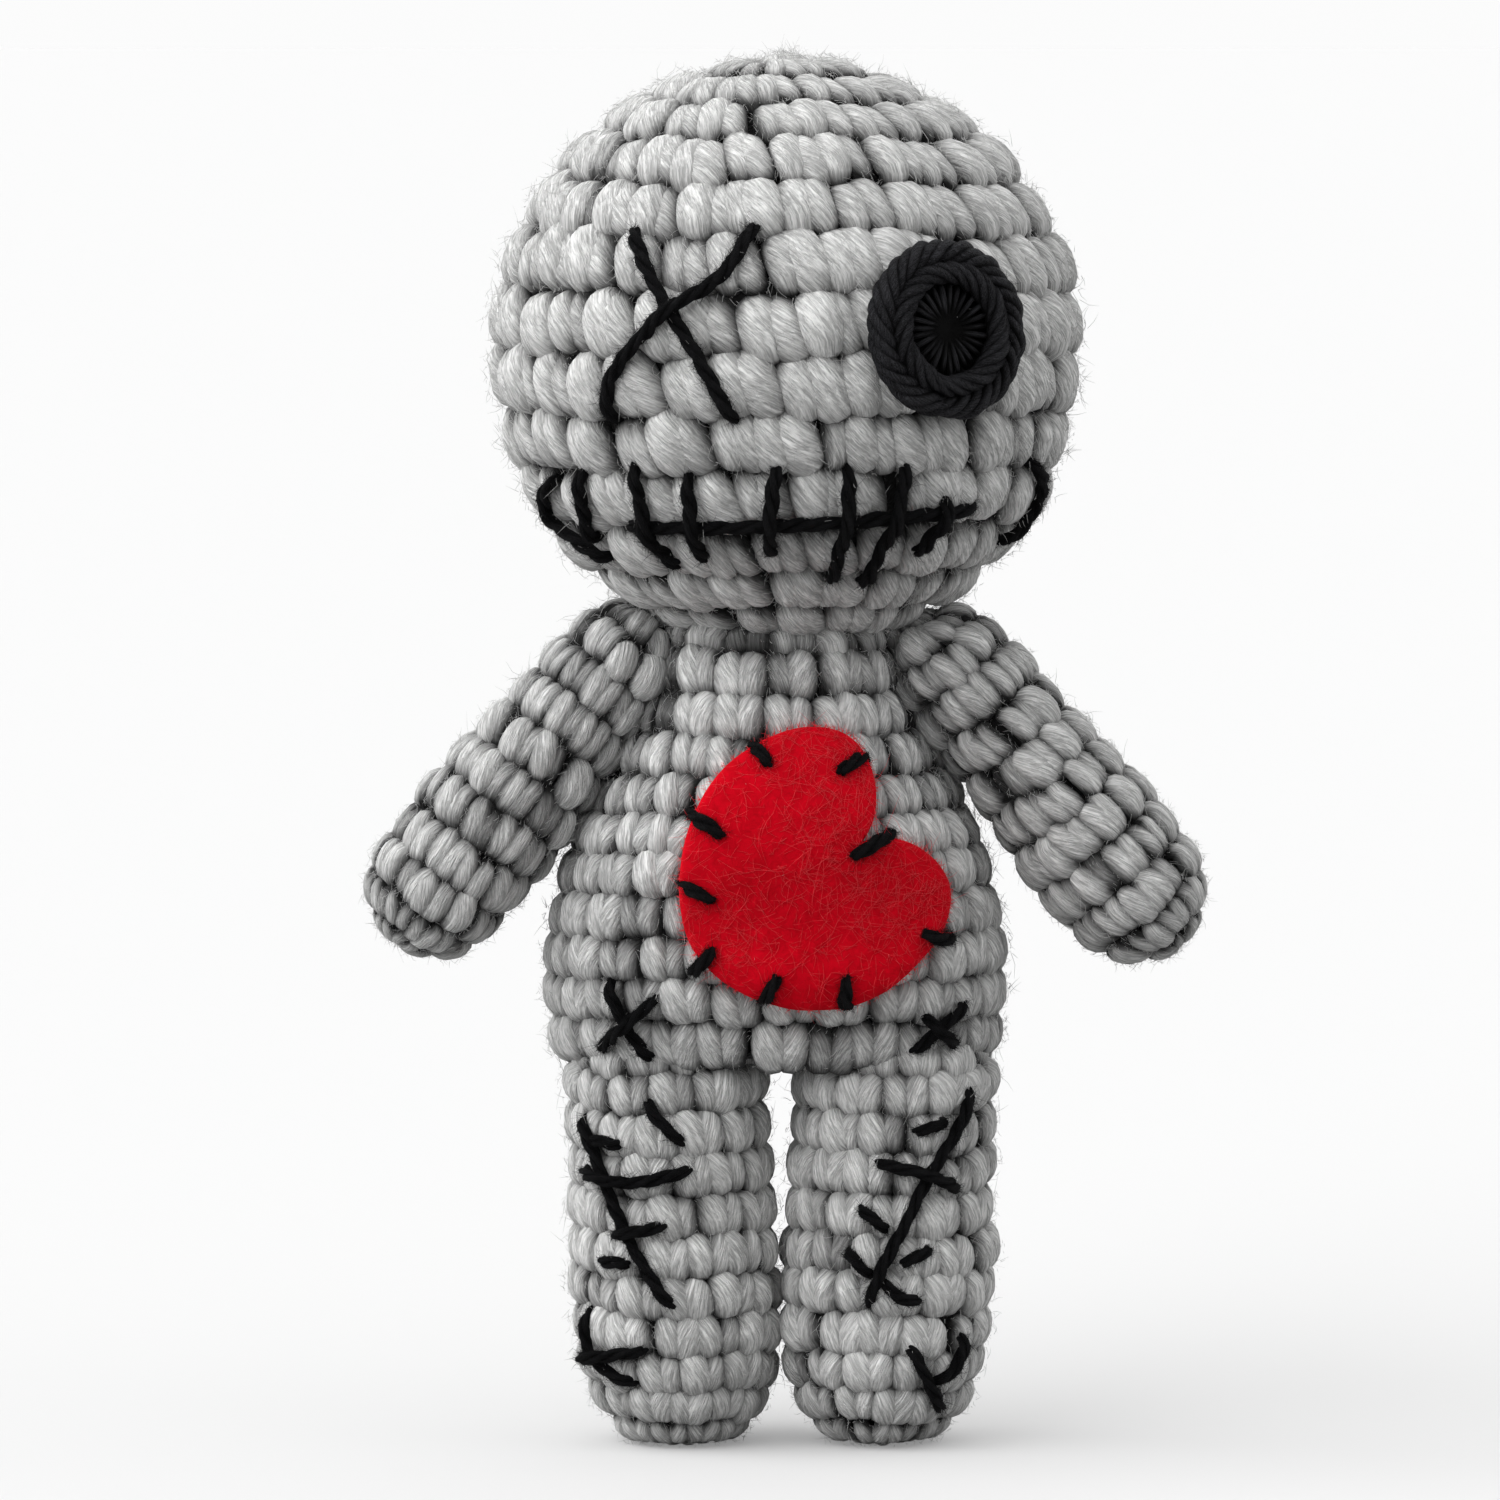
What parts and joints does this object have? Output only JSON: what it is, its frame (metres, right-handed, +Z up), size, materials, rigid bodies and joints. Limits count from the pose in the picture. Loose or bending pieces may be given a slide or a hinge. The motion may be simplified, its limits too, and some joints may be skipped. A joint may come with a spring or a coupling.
{
  "type": "crocheted doll",
  "caption": "Standing crocheted voodoo doll with a ball head, pear body, flexing arms and legs, a yarn X eye, a round crocheted eye, a stitched mouth and a felt heart.",
  "frame": {"origin": "centre of the bounding box at the level of the soles", "axes": "+Z up, the doll looks along -Y, +X is the doll's own left"},
  "size_m": [0.0848, 0.0614, 0.1396],
  "materials": {
    "grey_yarn": "matte fuzzy grey wool-blend yarn in single crochet",
    "black_yarn": "matte black yarn",
    "red_felt": "matte pressed felt",
    "fibrefill": "loose white polyester fibre"
  },
  "bodies": {
    "torso": {"torso_shell": "grey_yarn", "torso_stuffing": "fibrefill", "heart_patch": "red_felt", "heart_stitch_1": "black_yarn", "heart_stitch_2": "black_yarn", "heart_stitch_3": "black_yarn", "heart_stitch_4": "black_yarn", "heart_stitch_5": "black_yarn", "heart_stitch_6": "black_yarn", "heart_stitch_7": "black_yarn", "heart_stitch_8": "black_yarn", "heart_stitch_9": "black_yarn", "right_hip_stitch_1": "black_yarn", "right_hip_stitch_2": "black_yarn", "left_hip_stitch_1": "black_yarn", "left_hip_stitch_2": "black_yarn"},
    "neck": {"neck_seam": "grey_yarn"},
    "head": {"head_shell": "grey_yarn", "head_stuffing": "fibrefill", "eye_disc": "black_yarn", "x_eye_stitch_1": "black_yarn", "x_eye_stitch_2": "black_yarn", "mouth_line": "black_yarn", "mouth_bar_1": "black_yarn", "mouth_bar_2": "black_yarn", "mouth_bar_3": "black_yarn", "mouth_bar_4": "black_yarn", "mouth_bar_5": "black_yarn", "mouth_bar_6": "black_yarn", "mouth_corner_1": "black_yarn", "mouth_corner_2": "black_yarn", "mouth_corner_3": "black_yarn"},
    "left_shoulder": {"left_shoulder_seam": "grey_yarn"},
    "left_arm": {"left_arm_shell": "grey_yarn", "left_arm_stuffing": "fibrefill"},
    "right_shoulder": {"right_shoulder_seam": "grey_yarn"},
    "right_arm": {"right_arm_shell": "grey_yarn", "right_arm_stuffing": "fibrefill"},
    "left_leg": {"left_leg_shell": "grey_yarn", "left_leg_stuffing": "fibrefill", "left_leg_stitch_1": "black_yarn", "left_leg_stitch_2": "black_yarn", "left_leg_stitch_3": "black_yarn", "left_leg_stitch_4": "black_yarn", "left_leg_stitch_5": "black_yarn", "left_leg_stitch_6": "black_yarn", "left_leg_stitch_7": "black_yarn", "left_leg_stitch_8": "black_yarn", "left_leg_stitch_9": "black_yarn"},
    "right_leg": {"right_leg_shell": "grey_yarn", "right_leg_stuffing": "fibrefill", "right_leg_stitch_1": "black_yarn", "right_leg_stitch_2": "black_yarn", "right_leg_stitch_3": "black_yarn", "right_leg_stitch_4": "black_yarn", "right_leg_stitch_5": "black_yarn", "right_leg_stitch_6": "black_yarn", "right_leg_stitch_7": "black_yarn", "right_leg_stitch_8": "black_yarn"}
  },
  "joints": [
    {"name": "head_nod", "type": "hinge", "parent": "torso", "child": "neck", "pos_m": [0, 0.0011, 0.0715], "axis": [1, 0, 0], "range_deg": [-10, 12], "stiffness_Nm_per_rad": 0.04},
    {"name": "head_turn", "type": "hinge", "parent": "neck", "child": "head", "pos_m": [0, 0.0011, 0.0715], "axis": [0, 0, 1], "range_deg": [-30, 30], "stiffness_Nm_per_rad": 0.02},
    {"name": "left_arm_swing", "type": "hinge", "parent": "torso", "child": "left_shoulder", "pos_m": [0.01791, 0.0011, 0.07734], "axis": [-0.8767, 0, -0.481], "range_deg": [-60, 60], "stiffness_Nm_per_rad": 0.006},
    {"name": "left_arm_raise", "type": "hinge", "parent": "left_shoulder", "child": "left_arm", "pos_m": [0.01791, 0.0011, 0.07734], "axis": [0, -1, 0], "range_deg": [0, 50], "stiffness_Nm_per_rad": 0.006},
    {"name": "right_arm_swing", "type": "hinge", "parent": "torso", "child": "right_shoulder", "pos_m": [-0.01791, 0.0011, 0.07734], "axis": [-0.8767, 0, 0.481], "range_deg": [-60, 60], "stiffness_Nm_per_rad": 0.006},
    {"name": "right_arm_raise", "type": "hinge", "parent": "right_shoulder", "child": "right_arm", "pos_m": [-0.01791, 0.0011, 0.07734], "axis": [0, 1, 0], "range_deg": [0, 50], "stiffness_Nm_per_rad": 0.006},
    {"name": "left_leg_swing", "type": "hinge", "parent": "torso", "child": "left_leg", "pos_m": [0.01085, 0.0011, 0.034], "axis": [-1, 0, 0], "range_deg": [-20, 25], "stiffness_Nm_per_rad": 0.08},
    {"name": "right_leg_swing", "type": "hinge", "parent": "torso", "child": "right_leg", "pos_m": [-0.01085, 0.0011, 0.034], "axis": [-1, 0, 0], "range_deg": [-20, 25], "stiffness_Nm_per_rad": 0.08}
  ]
}
